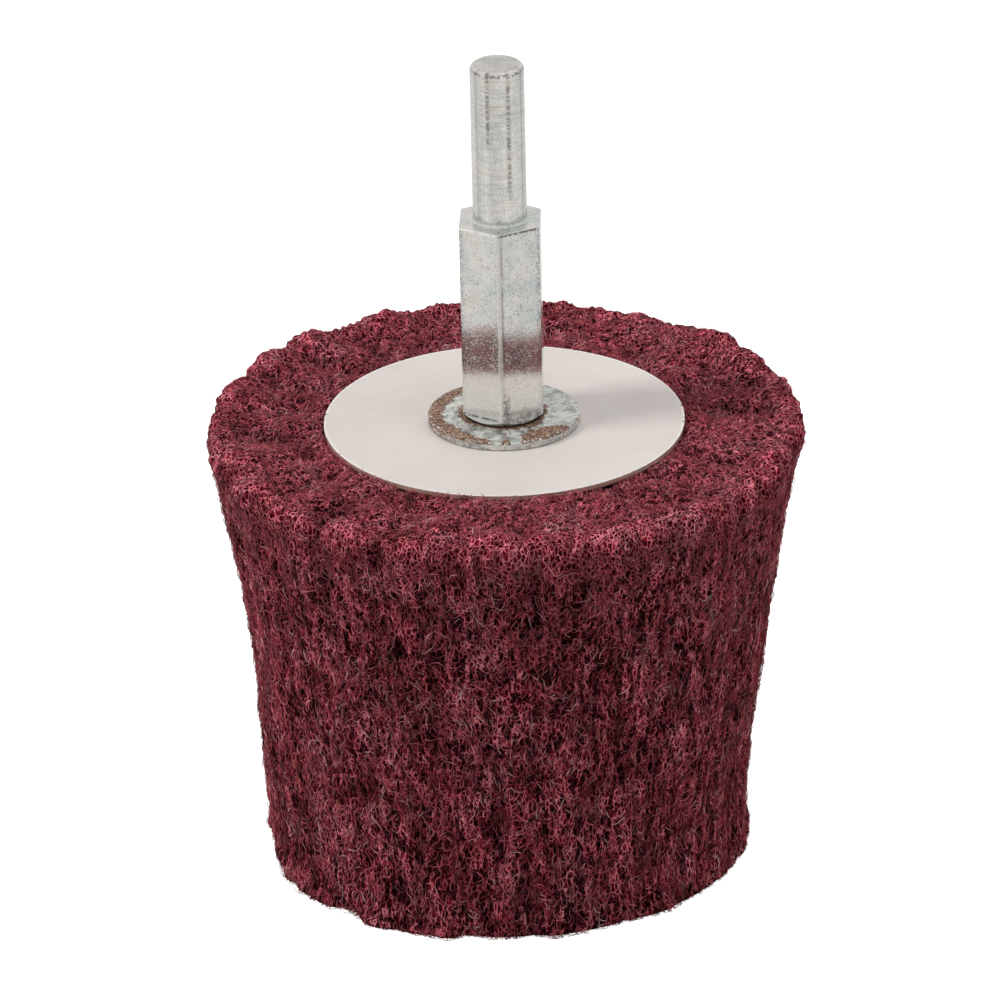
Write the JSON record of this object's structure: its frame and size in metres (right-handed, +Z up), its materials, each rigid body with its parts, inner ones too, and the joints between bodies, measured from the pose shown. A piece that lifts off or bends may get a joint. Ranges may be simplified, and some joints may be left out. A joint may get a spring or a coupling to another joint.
{
  "type": "sanding mop",
  "caption": "Abrasive mop for a drill: radial flaps of non-woven web packed round a hub, clamped between card discs and washers on an arbor with a hexagon body and a round shank.",
  "frame": {"origin": "centre of the base, on the plane of the flaps' feet", "axes": "+Z up the arbor's axis towards the shank's free end; a corner of the hexagon faces -Y"},
  "size_m": [0.0656, 0.0656, 0.0933],
  "materials": {
    "abrasive_web": "open maroon web of crimped nylon fibres with resin-bonded abrasive grain, matt with small glints",
    "zinc_plated_steel": "bright zinc plate over turned steel, slightly mottled, satin",
    "worn_washer_steel": "zinc plate worn through to brown steel along the rim and under the hexagon",
    "washer_steel": "zinc plate, satin",
    "bare_steel_tube": "drawn steel tube, oiled",
    "moulded_resin": "cast resin, dull, dark brown",
    "white_faced_card": "grey-brown card with a smooth warm white face, unprinted"
  },
  "bodies": {
    "mop": {"arbor": "zinc_plated_steel", "upper_washer": "worn_washer_steel", "upper_card_disc": "white_faced_card", "clamp_tube": "bare_steel_tube", "hub": "moulded_resin", "lower_card_disc": "white_faced_card", "flap_01": "abrasive_web", "flap_02": "abrasive_web", "flap_03": "abrasive_web", "flap_04": "abrasive_web", "flap_05": "abrasive_web", "flap_06": "abrasive_web", "flap_07": "abrasive_web", "flap_08": "abrasive_web", "flap_09": "abrasive_web", "flap_10": "abrasive_web", "flap_11": "abrasive_web", "flap_12": "abrasive_web", "flap_13": "abrasive_web", "flap_14": "abrasive_web", "flap_15": "abrasive_web", "flap_16": "abrasive_web", "flap_17": "abrasive_web", "flap_18": "abrasive_web", "flap_19": "abrasive_web", "flap_20": "abrasive_web", "flap_21": "abrasive_web", "flap_22": "abrasive_web", "flap_23": "abrasive_web", "flap_24": "abrasive_web"},
    "lower_washer": {"lower_washer": "washer_steel"},
    "clamp_nut": {"clamp_nut": "zinc_plated_steel"}
  },
  "joints": [
    {"name": "washer_travel", "type": "slide", "parent": "mop", "child": "lower_washer", "axis": [0, 0, -1], "range_m": [0, 0.0065]},
    {"name": "nut_turn", "type": "hinge", "parent": "lower_washer", "child": "clamp_nut", "pos_m": [0, 0, 0.0095], "axis": [0, 0, -1], "range_deg": [0, 2340]}
  ],
  "couplings": [
    {"joint": "nut_turn", "follows": "washer_travel", "rad_per_m": 6283.2}
  ]
}
